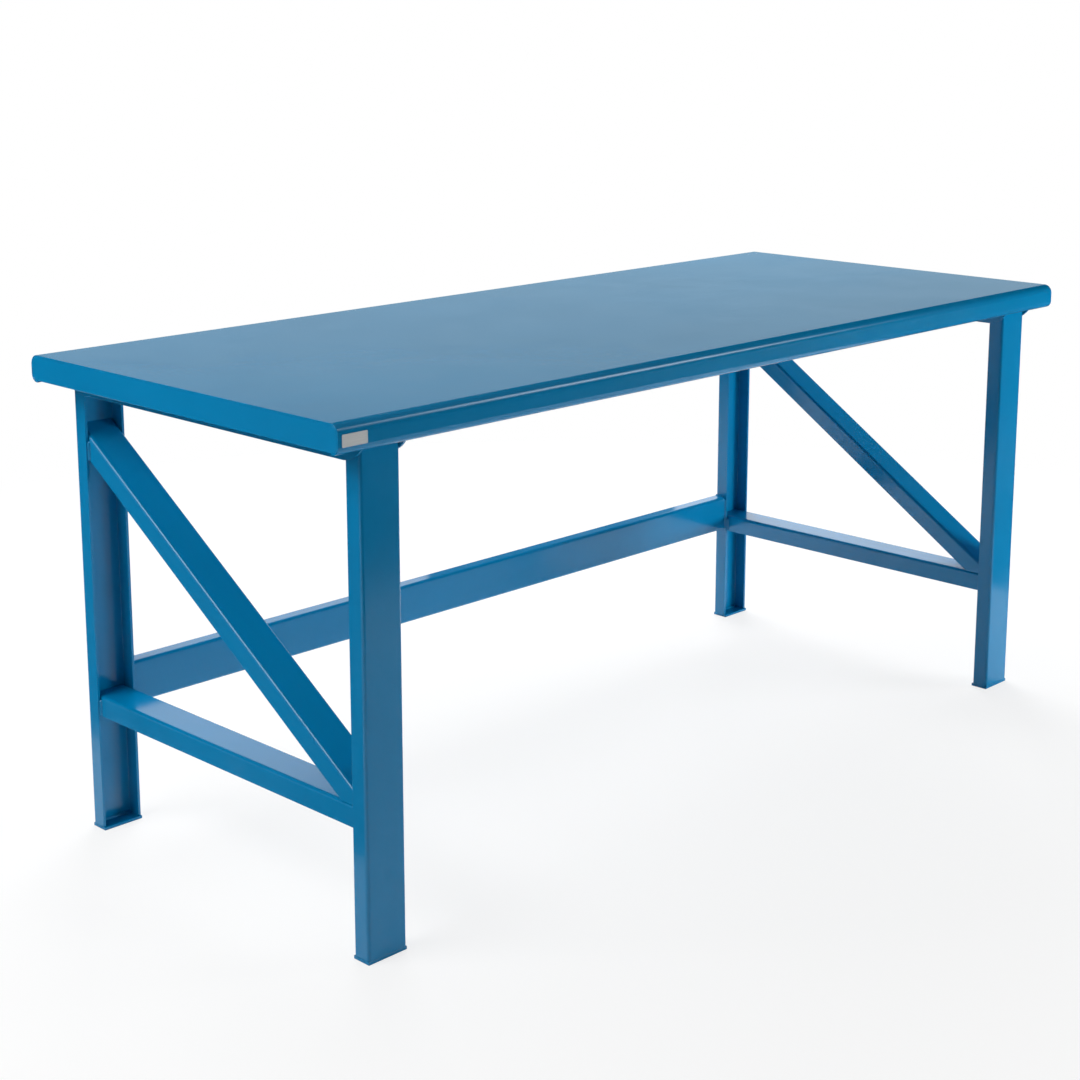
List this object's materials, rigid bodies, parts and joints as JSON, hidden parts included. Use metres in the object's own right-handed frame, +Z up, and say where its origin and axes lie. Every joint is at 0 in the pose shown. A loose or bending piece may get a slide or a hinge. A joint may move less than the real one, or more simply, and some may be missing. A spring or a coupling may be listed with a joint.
{
  "type": "workbench",
  "caption": "All-welded steel workbench with a rolled-edge sheet top, channel legs, end rails, diagonal end braces and a low rear stringer.",
  "frame": {"origin": "on the floor under the middle of the top", "axes": "+X along the length to the right as seen from the front, +Y from the front to the rear, +Z up"},
  "size_m": [1.829, 0.7628, 0.813],
  "materials": {
    "top_enamel": "gloss enamel",
    "frame_enamel": "gloss enamel",
    "weld_enamel": "gloss enamel over weld beads",
    "plate_metal": "satin"
  },
  "bodies": {
    "root": {"left_end_plate": "top_enamel", "right_end_plate": "top_enamel", "top_skin": "top_enamel", "left_cap_channel": "frame_enamel", "left_end_rail": "frame_enamel", "left_brace": "frame_enamel", "left_cap_channel_welds": "weld_enamel", "left_rail_welds": "weld_enamel", "left_brace_welds": "weld_enamel", "right_cap_channel": "frame_enamel", "right_end_rail": "frame_enamel", "right_brace": "frame_enamel", "right_cap_channel_welds": "weld_enamel", "right_rail_welds": "weld_enamel", "right_brace_welds": "weld_enamel", "front_stiffener": "frame_enamel", "front_stiffener_welds": "weld_enamel", "front_left_leg": "frame_enamel", "front_left_foot_plate": "frame_enamel", "front_left_leg_head_welds": "weld_enamel", "front_right_leg": "frame_enamel", "front_right_foot_plate": "frame_enamel", "front_right_leg_head_welds": "weld_enamel", "rear_stiffener": "frame_enamel", "rear_stiffener_welds": "weld_enamel", "rear_left_leg": "frame_enamel", "rear_left_foot_plate": "frame_enamel", "rear_left_leg_head_welds": "weld_enamel", "rear_right_leg": "frame_enamel", "rear_right_foot_plate": "frame_enamel", "rear_right_leg_head_welds": "weld_enamel", "rear_stringer": "frame_enamel", "stringer_welds": "weld_enamel", "foot_plate_welds": "weld_enamel", "name_plate": "plate_metal"}
  },
  "joints": []
}
